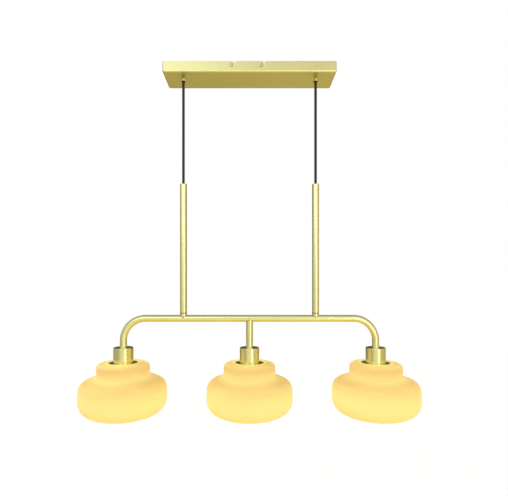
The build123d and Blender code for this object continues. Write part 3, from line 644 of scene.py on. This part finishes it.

# %% [markdown]
# The ceiling bracket is steel in a white powder coat, the colour of the ceiling that shows through the
# canopy's slots. Powder melts into a film with a faint orange peel. The coat is thin where the sheet was cut,
# so the grey metal shows there. The upper face is painted grey as well, a painted shade on the side that
# faces up.

# %% Powder coat
powder_coat, tree, shader, place = start_finish("powder_coat", Specular_IOR_Level=0.45)
peel = noise(tree, place, scale=900.0)
wear = use_group(tree, "edge_wear", Radius=0.0004)
hand = use_group(tree, "handling_marks", Vector=place, Size=30.0)
coat = mixed(tree, mapped(tree, hand["Smudge"], 0.0, 0.5), (0.93, 0.93, 0.90, 1), (0.86, 0.86, 0.82, 1))
# Painted shade: faces that point up turn grey; the cut edges turn grey from real wear.
upward = split_vector(tree, surface_normal(tree))[2]
bare_edges_and_shaded_top = mapped(tree, upward, 0.0, 0.85, 0.5, 0.9)
bare_edges_and_shaded_top = math_node(tree, "MAXIMUM", bare_edges_and_shaded_top, math_node(tree, "MULTIPLY", wear["Edge"], 0.35))
coat = mixed(tree, bare_edges_and_shaded_top, coat, (0.50, 0.50, 0.50, 1))
tree.links.new(coat, shader.inputs["Base Color"])
tree.links.new(mapped(tree, peel, 0.34, 0.48, 0.3, 0.7), shader.inputs["Roughness"])
add_bump(tree, shader, peel, strength=0.12, distance=0.00010)
print("coat:", powder_coat.name)

# %% [markdown]
# Lampholders, shade rings, cord grips and outlet bushes are moulded in a hard black plastic, the terminal
# block in white, and the gasket under the glass is clear silicone. Moulded pieces share a fine grain and slow
# flow marks.

# %% Plastics and silicone
def moulded(name, dark, light, worn, roughness, **plain):
    """A moulded plastic: fine grain, slow flow marks and slightly polished edges."""
    finish, tree, shader, place = start_finish(name, **plain)
    grain = use_group(tree, "moulded_grain", Vector=place, Size=1900.0)
    wear = use_group(tree, "edge_wear", Radius=0.0005)
    hand = use_group(tree, "handling_marks", Vector=place, Size=40.0)
    tone = mixed(tree, mapped(tree, grain["Flow"], 0.0, 1.0, 0.3, 0.7), dark, light)
    tone = mixed(tree, math_node(tree, "MULTIPLY", wear["Edge"], 0.5), tone, worn)
    tree.links.new(tone, shader.inputs["Base Color"])
    rough = mapped(tree, grain["Grain"], roughness - 0.05, roughness + 0.08, 0.3, 0.7)
    rough = math_node(tree, "SUBTRACT", rough, math_node(tree, "MULTIPLY", hand["Smudge"], 0.06))
    tree.links.new(rough, shader.inputs["Roughness"])
    add_bump(tree, shader, grain["Grain"], strength=0.14, distance=0.00008)
    return finish


black_plastic = moulded(
    "black_plastic", (0.014, 0.014, 0.015, 1), (0.024, 0.024, 0.025, 1), (0.07, 0.07, 0.07, 1), 0.36)
white_plastic = moulded(
    "white_plastic", (0.70, 0.69, 0.65, 1), (0.78, 0.77, 0.73, 1), (0.86, 0.85, 0.82, 1), 0.40,
    Subsurface_Weight=0.1, Subsurface_Scale=0.002)
silicone = moulded(
    "clear_silicone", (0.74, 0.74, 0.70, 1), (0.82, 0.82, 0.79, 1), (0.88, 0.88, 0.86, 1), 0.48,
    Subsurface_Weight=0.5, Subsurface_Scale=0.003)
lead_jacket = moulded(
    "lead_jacket", (0.60, 0.58, 0.54, 1), (0.68, 0.66, 0.62, 1), (0.76, 0.74, 0.70, 1), 0.44)
for bush in outlet_bushes.values():
    bush.data.materials.append(black_plastic)
print("plastics:", black_plastic.name, white_plastic.name, silicone.name, lead_jacket.name)

# %% [markdown]
# The jacket's yarns are charcoal rather than pure black, and each carrier shows its single threads. The
# braid's coordinates are angle and height about the cord, so the threads follow the pressed relief.

# %% Textile jacket
threads_each = 2.0

textile, tree, shader, place = start_finish(
    "charcoal_textile", Specular_IOR_Level=0.3, Sheen_Weight=0.25, Sheen_Roughness=0.4,
    Sheen_Tint=(0.42, 0.48, 0.56, 1))
parts = split_vector(tree, place)
reach = cord_x["right"]
from_axis = math_node(tree, "WRAP", math_node(tree, "ADD", parts[0], reach), reach, -reach)
turn = math_node(tree, "ARCTAN2", parts[1], from_axis)
climb = math_node(tree, "MULTIPLY", parts[2], 2 * math.pi / braid_lay)
threads = []
for operation in ("ADD", "SUBTRACT"):
    slant = math_node(tree, "MULTIPLY", math_node(tree, operation, turn, climb), carriers * threads_each)
    threads.append(mapped(tree, math_node(tree, "SINE", slant), 0.0, 1.0, -1.0, 1.0))
over = math_node(tree, "MULTIPLY", *threads)
fuzz = noise(tree, place, scale=5200.0)
yarn = mixed(tree, over, (0.009, 0.010, 0.012, 1), (0.064, 0.072, 0.084, 1))
yarn = mixed(tree, mapped(tree, fuzz, 0.0, 0.5, 0.45, 0.75), yarn, (0.070, 0.078, 0.090, 1))
tree.links.new(yarn, shader.inputs["Base Color"])
tree.links.new(mapped(tree, fuzz, 0.72, 0.92), shader.inputs["Roughness"])
add_bump(tree, shader, math_node(tree, "ADD", over, fuzz), strength=0.35, distance=0.00010)

for piece in (*cords.values(), *tails.values()):
    piece.data.materials.clear()
    piece.data.materials.append(textile)
print("jacket:", textile.name)

# %% [markdown]
# Mains cores have fixed colours: brown, blue, and green with yellow stripes. The striped core lies in the
# lamp's middle plane and runs along X, so a wave that climbs with both X and the side of the wire winds round
# it.

# %% Cores
stripe_along, stripe_across = 520.0, 1300.0

core_brown = moulded(
    "core_brown", (0.085, 0.040, 0.022, 1), (0.115, 0.056, 0.030, 1), (0.16, 0.09, 0.06, 1), 0.34)
core_blue = moulded(
    "core_blue", (0.020, 0.075, 0.30, 1), (0.030, 0.10, 0.38, 1), (0.08, 0.17, 0.46, 1), 0.34)
core_striped = moulded(
    "core_striped", (0.030, 0.20, 0.045, 1), (0.045, 0.26, 0.06, 1), (0.10, 0.34, 0.12, 1), 0.34)

tree = core_striped.node_tree
shader = tree.nodes["Principled BSDF"]
green = shader.inputs["Base Color"].links[0].from_socket
parts = split_vector(tree, tree.nodes["Texture Coordinate"].outputs["Object"])
wound = math_node(tree, "ADD", math_node(tree, "MULTIPLY", parts[0], stripe_along),
                  math_node(tree, "MULTIPLY", parts[1], stripe_across))
stripe = mapped(tree, math_node(tree, "SINE", wound), 0.0, 1.0, 0.35, 0.45)
tree.links.new(mixed(tree, stripe, green, (0.80, 0.62, 0.05, 1)), shader.inputs["Base Color"])

core_finishes = [core_brown, core_striped, core_blue]
for (side, number), core in cores.items():
    core.data.materials.clear()
    core.data.materials.append(core_finishes[number])
print("cores:", [finish.name for finish in core_finishes])

# %% [markdown]
# Every solid that still shows now gets its finish. A list by the start of the node's name is enough, because
# the CAD names say what each piece is. Anything that the list forgets stops the script instead of staying
# grey.

# %% Finishes on the solids
finish_of = {
    "canopy_screws": brass_screw, "canopy": brass_sheet, "bar": brass_bar, "stem_nipples": bare_brass,
    "stem_bush": brass_bush, "stem": brass_stem, "ferrule_nuts": zinc_steel, "ferrule": brass_bush,
    "cup": brass_turned, "shade_carrier": brass_turned, "shade_gasket": silicone,
    "shade_ring": black_plastic, "shade": amber_glass, "lampholder": black_plastic, "screw_shell": bare_brass,
    "centre_contact": bare_brass, "holder_nipples": bare_brass, "lamp_lead": lead_jacket,
    "bulb_globe": milky_bulb, "bulb_cap": nickel_cap, "ceiling_bracket": powder_coat,
    "cord_grip": black_plastic, "grip_screws": zinc_steel, "bush_screws": zinc_steel,
    "terminal_block": white_plastic, "terminal_screws": bare_brass, "terminal_nuts": zinc_steel,
}
dressed = 0
for name, node in nodes.items():
    if node.hide_render:
        continue
    kind = max((start for start in finish_of if name.startswith(start)), key=len)
    for place in node.material_slots:
        place.material = finish_of[kind]
    dressed += 1
print("solids with a finish:", dressed)

# %% [markdown]
# A pendant has no floor under it, but its shadow and the light that comes back from below matter. The floor
# is a pale sand colour and far down, with painted warm light that grows towards its right. To the camera it
# is almost white, as the picture's background is, and only a share of its own shading stays, which is the
# lamp's soft shadow.

# %% Floor
floor_z, floor_half = -1.9, 7.0
white_share, metal_share = 0.98, 0.03


def sees_white(tree, direct_share):
    """How much plain white a ray sees: this share for the camera and through glass, little for metal."""
    ray = tree.nodes.new("ShaderNodeLightPath").outputs
    direct = math_node(tree, "MAXIMUM", ray["Is Camera Ray"], ray["Is Transmission Ray"])
    glossy = math_node(tree, "MULTIPLY", ray["Is Glossy Ray"], metal_share)
    return math_node(tree, "MAXIMUM", math_node(tree, "MULTIPLY", direct, direct_share), glossy)


floor_mesh = bpy.data.meshes.new("studio_floor")
shape = bmesh.new()
bmesh.ops.create_grid(shape, x_segments=2, y_segments=2, size=floor_half)
bmesh.ops.translate(shape, verts=shape.verts, vec=(0.0, 0.0, floor_z))
shape.to_mesh(floor_mesh)
shape.free()
floor = bpy.data.objects.new("studio_floor", floor_mesh)
bpy.context.scene.collection.objects.link(floor)

pale_floor, tree, shader, place = start_finish("pale_floor", Roughness=0.9, Specular_IOR_Level=0.1)
dust = noise(tree, place, scale=3.0, detail=4.0)
sand = mixed(tree, dust, (0.70, 0.60, 0.28, 1), (0.74, 0.64, 0.31, 1))
# Painted warm light: the floor grows brighter and warmer towards its right.
painted_warm_light = mapped(tree, split_vector(tree, place)[0], 0.0, 1.0, -1.2, 1.2)
tree.links.new(mixed(tree, painted_warm_light, sand, (1.0, 0.84, 0.38, 1)), shader.inputs["Base Color"])
white = add_node(tree, "ShaderNodeEmission", {"Color": (1, 1, 1, 1), "Strength": 1.01}).outputs[0]
surface = {0: sees_white(tree, white_share), 1: shader.outputs[0], 2: white}
shown = add_node(tree, "ShaderNodeMixShader", surface).outputs[0]
tree.links.new(shown, tree.nodes["Material Output"].inputs["Surface"])
floor_mesh.materials.append(pale_floor)
print("floor at", floor_z)

# %% [markdown]
# The room around the lamp is light in front, where the photographer's screens stand, duller on the left, warm
# on the right and dark behind, which is what draws the dark edges of the tubes and cups. The camera sees
# plain white, and so do rays through glass; the metal sees a small share of that white.

# %% Room
world = bpy.data.worlds.new("studio_room")
bpy.context.scene.world = world
world.use_nodes = True
tree = world.node_tree
background = tree.nodes["Background"]
heading = tree.nodes.new("ShaderNodeTexCoord").outputs["Generated"]
right, back, up = split_vector(tree, heading)

room = mixed(tree, mapped(tree, up, 0.0, 1.0, 0.14, 0.40), (0.86, 0.85, 0.81, 1), (0.55, 0.50, 0.45, 1))
room = mixed(tree, mapped(tree, right, 0.0, 1.0, -0.45, -0.85), room, (0.55, 0.54, 0.49, 1))
room = mixed(tree, mapped(tree, right, 0.0, 1.0, 0.60, 0.92), room, (0.76, 0.58, 0.33, 1))
room = mixed(tree, mapped(tree, up, 0.0, 1.0, 0.60, 0.95), room, (0.54, 0.54, 0.52, 1))
room = mixed(tree, mapped(tree, back, 0.0, 1.0, 0.20, 0.75), room, (0.06, 0.056, 0.046, 1))

tree.links.new(mixed(tree, sees_white(tree, 1.0), room, (1, 1, 1, 1)), background.inputs["Color"])
background.inputs["Strength"].default_value = 1.0
print("room:", world.name)

# %% [markdown]
# Area lamps do the rest, because their soft edges suit satin metal. A large screen on the left lights the
# left half of the canopy, a tall strip on the right draws the upright line on each stem and cup, and a bank
# in front fills. A panel near the floor lights the undersides. Two lamps high at the sides light only the
# shoulders of the shades: they are left out of reflections, where they would burn white patches into the
# bends of the bar.

# %% Lamps
def area_lamp(name, place, aim, width, height, watts, colour):
    """A rectangular area light that points from one place to another."""
    light = bpy.data.lights.new(name, "AREA")
    light.shape = "RECTANGLE"
    light.size, light.size_y = width, height
    light.energy = watts
    light.color = colour
    lamp = bpy.data.objects.new(name, light)
    lamp.location = place
    lamp.rotation_euler = (Vector(aim) - Vector(place)).to_track_quat("-Z", "Y").to_euler()
    bpy.context.scene.collection.objects.link(lamp)
    return lamp


lamps = [
    area_lamp("key_screen", place=(-1.02, -1.75, 0.62), aim=(0, 0, -0.35),
              width=1.8, height=1.6, watts=7.6, colour=(0.88, 0.94, 1.0)),
    area_lamp("front_strip", place=(0.88, -1.36, -0.45), aim=(0, 0, -0.5),
              width=0.42, height=1.5, watts=4.0, colour=(1.0, 0.97, 0.90)),
    area_lamp("front_bank", place=(0.05, -0.95, -0.06), aim=(0, 0, -0.58),
              width=1.5, height=0.40, watts=1.2, colour=(1.0, 0.99, 0.95)),
    area_lamp("high_left", place=(-1.5, 0.35, 0.85), aim=(0, 0, -0.7),
              width=1.2, height=1.2, watts=31.0, colour=(1.0, 0.98, 0.94)),
    area_lamp("high_right", place=(1.5, 0.40, 0.90), aim=(0, 0, -0.7),
              width=1.2, height=1.2, watts=18.0, colour=(1.0, 0.98, 0.94)),
    area_lamp("low_panel", place=(0.0, -1.3, -1.25), aim=(0, 0, -0.4),
              width=1.7, height=0.6, watts=2.2, colour=(1.0, 0.98, 0.90)),
]
for lamp in lamps:
    lamp.visible_glossy = not lamp.name.startswith("high")
print("lamps:", [lamp.name for lamp in lamps])

# %% [markdown]
# The render keeps Blender's standard view transform, so colours come out as they are written.

# %% View transform
bpy.context.scene.view_settings.view_transform = "Standard"
